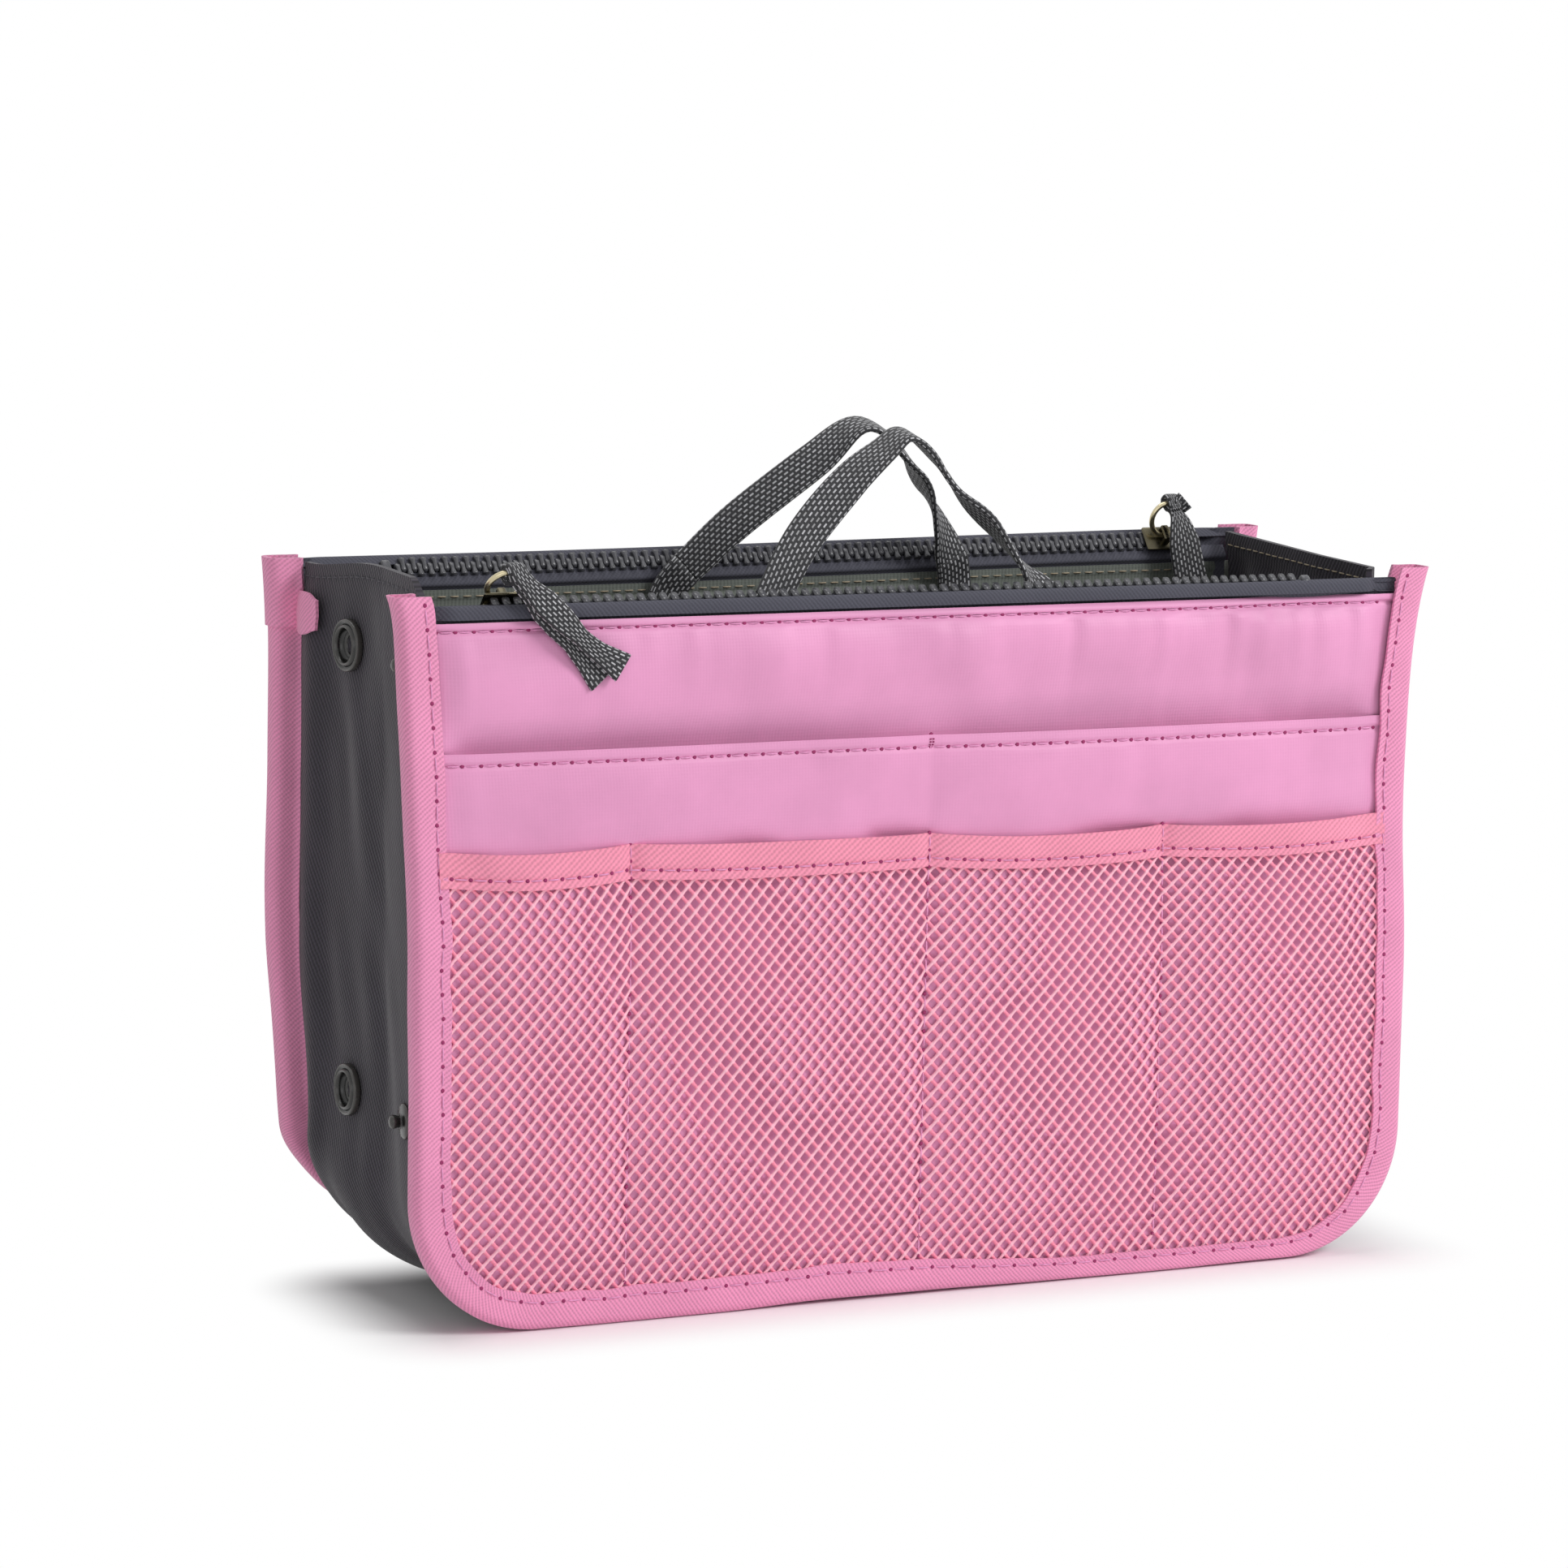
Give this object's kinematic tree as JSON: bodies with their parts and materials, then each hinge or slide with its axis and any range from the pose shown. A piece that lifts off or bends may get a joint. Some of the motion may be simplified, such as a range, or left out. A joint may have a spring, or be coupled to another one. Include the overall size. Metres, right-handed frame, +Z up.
{
  "type": "travel cosmetic organizer",
  "caption": "Open-topped fabric organizer with zipped wings, net pockets, a snap-folding gusset that slims it, and short webbing handles.",
  "frame": {"origin": "on the floor, in the middle of the organizer's footprint", "axes": "+X along the width to the viewer's right, +Y from the net-pocket side to the back, +Z up"},
  "size_m": [0.28, 0.0942, 0.2145],
  "materials": {
    "pink_nylon": "satin",
    "pink_binding": "twill tape",
    "pink_net": "knitted net",
    "hem_tape": "twill tape",
    "grey_twill": "matte twill",
    "grey_lining": "satin lining",
    "zip_tape": "woven tape",
    "zip_teeth": "moulded",
    "zip_metal": "pale plated",
    "webbing": "woven webbing",
    "snap_plastic": "glossy"
  },
  "bodies": {
    "front_wing": {"front_outer_panel": "pink_nylon", "front_inner_panel": "grey_lining", "front_binding": "pink_binding", "front_slip_pocket": "pink_nylon", "front_lower_pocket": "pink_net", "front_pocket_hem": "hem_tape", "front_inner_pocket": "grey_lining", "front_inner_elastic": "grey_lining", "front_zip_outer_tape": "zip_tape", "front_zip_inner_tape": "zip_tape", "front_zip_outer_teeth": "zip_teeth", "front_zip_inner_teeth": "zip_teeth", "front_zip_end_stop": "zip_teeth", "front_handle_left_end": "webbing", "front_handle_right_end": "webbing", "left_corner": "grey_twill", "right_corner": "grey_twill"},
    "left_front": {"left_front_fold": "grey_twill", "left_upper_stud": "snap_plastic", "left_lower_stud": "snap_plastic"},
    "left_middle": {"left_middle_fold": "grey_twill", "left_upper_socket": "snap_plastic", "left_lower_socket": "snap_plastic"},
    "back_wing": {"back_outer_panel": "pink_nylon", "back_inner_panel": "grey_lining", "back_binding": "pink_binding", "back_slip_pocket": "pink_nylon", "back_lower_pocket": "pink_nylon", "back_pocket_hem": "hem_tape", "back_inner_pocket": "grey_lining", "back_inner_elastic": "grey_lining", "back_zip_outer_tape": "zip_tape", "back_zip_inner_tape": "zip_tape", "back_zip_outer_teeth": "zip_teeth", "back_zip_inner_teeth": "zip_teeth", "back_zip_end_stop": "zip_teeth", "back_handle_right_end": "webbing", "back_handle_left_end": "webbing", "rear_band": "grey_twill"},
    "right_front": {"right_front_fold": "grey_twill", "right_upper_stud": "snap_plastic", "right_lower_stud": "snap_plastic"},
    "right_middle": {"right_middle_fold": "grey_twill", "right_upper_socket": "snap_plastic", "right_lower_socket": "snap_plastic"},
    "bottom_front": {"bottom_front_fold": "grey_twill"},
    "bottom_middle": {"bottom_middle_fold": "grey_twill"},
    "front_slider": {"front_zip_slider": "zip_metal"},
    "front_ring": {"front_zip_ring": "zip_metal"},
    "front_pull": {"front_zip_pull": "webbing"},
    "back_slider": {"back_zip_slider": "zip_metal"},
    "back_ring": {"back_zip_ring": "zip_metal"},
    "back_pull": {"back_zip_pull": "webbing"},
    "front_handle_loop": {"front_handle": "webbing"},
    "back_handle_loop": {"back_handle": "webbing"}
  },
  "joints": [
    {"name": "left_front_fold", "type": "hinge", "parent": "front_wing", "child": "left_front", "pos_m": [-0.1312, -0.038, 0.1], "axis": [0, 0, -1], "range_deg": [0, 80]},
    {"name": "left_middle_fold", "type": "hinge", "parent": "left_front", "child": "left_middle", "pos_m": [-0.1322, -0.011, 0.1], "axis": [0, 0, 1], "range_deg": [0, 160]},
    {"name": "left_rear_fold", "type": "hinge", "parent": "left_middle", "child": "back_wing", "pos_m": [-0.1312, 0.016, 0.1], "axis": [0, 0, -1], "range_deg": [0, 80]},
    {"name": "slim_fold", "type": "hinge", "parent": "front_wing", "child": "right_front", "pos_m": [0.1312, -0.038, 0.1], "axis": [0, 0, 1], "range_deg": [0, 80], "deforming": ["left_corner", "right_corner"]},
    {"name": "right_middle_fold", "type": "hinge", "parent": "back_wing", "child": "right_middle", "pos_m": [0.1312, 0.016, 0.1], "axis": [0, 0, -1], "range_deg": [0, 80]},
    {"name": "bottom_front_fold", "type": "hinge", "parent": "front_wing", "child": "bottom_front", "pos_m": [0, -0.038, 0.004], "axis": [1, 0, 0], "range_deg": [0, 80]},
    {"name": "bottom_middle_fold", "type": "hinge", "parent": "back_wing", "child": "bottom_middle", "pos_m": [0, 0.016, 0.004], "axis": [-1, 0, 0], "range_deg": [0, 80]},
    {"name": "front_handle_swing", "type": "hinge", "parent": "front_wing", "child": "front_handle_loop", "pos_m": [0, -0.0339, 0.1722], "axis": [1, 0, 0], "range_deg": [0, 55]},
    {"name": "back_handle_swing", "type": "hinge", "parent": "back_wing", "child": "back_handle_loop", "pos_m": [0, 0.0339, 0.1722], "axis": [-1, 0, 0], "range_deg": [0, 55]},
    {"name": "front_zip_slide", "type": "slide", "parent": "front_wing", "child": "front_slider", "axis": [1, 0, 0], "range_m": [0, 0.21], "deforming": ["front_zip_outer_teeth", "front_zip_inner_teeth"]},
    {"name": "front_ring_swing", "type": "hinge", "parent": "front_slider", "child": "front_ring", "pos_m": [-0.112, -0.03849, 0.1763], "axis": [-1, 0, 0], "range_deg": [0, 90]},
    {"name": "front_pull_swing", "type": "hinge", "parent": "front_ring", "child": "front_pull", "pos_m": [-0.112, -0.04456, 0.18321], "axis": [-1, 0, 0], "range_deg": [0, 100]},
    {"name": "back_zip_slide", "type": "slide", "parent": "back_wing", "child": "back_slider", "axis": [-1, 0, 0], "range_m": [0, 0.21], "deforming": ["back_zip_outer_teeth", "back_zip_inner_teeth", "back_zip_pull"]},
    {"name": "back_ring_swing", "type": "hinge", "parent": "back_slider", "child": "back_ring", "pos_m": [0.112, 0.03849, 0.1763], "axis": [-1, 0, 0], "range_deg": [0, 60]},
    {"name": "back_pull_swing", "type": "hinge", "parent": "back_ring", "child": "back_pull", "pos_m": [0.112, 0.03619, 0.18521], "axis": [-1, 0, 0], "range_deg": [0, 90]}
  ],
  "couplings": [
    {"joint": "left_front_fold", "follows": "slim_fold", "ratio": 1},
    {"joint": "left_middle_fold", "follows": "slim_fold", "ratio": 2},
    {"joint": "left_rear_fold", "follows": "slim_fold", "ratio": 1},
    {"joint": "right_middle_fold", "follows": "slim_fold", "ratio": 1},
    {"joint": "bottom_front_fold", "follows": "slim_fold", "ratio": 1},
    {"joint": "bottom_middle_fold", "follows": "slim_fold", "ratio": 1}
  ]
}
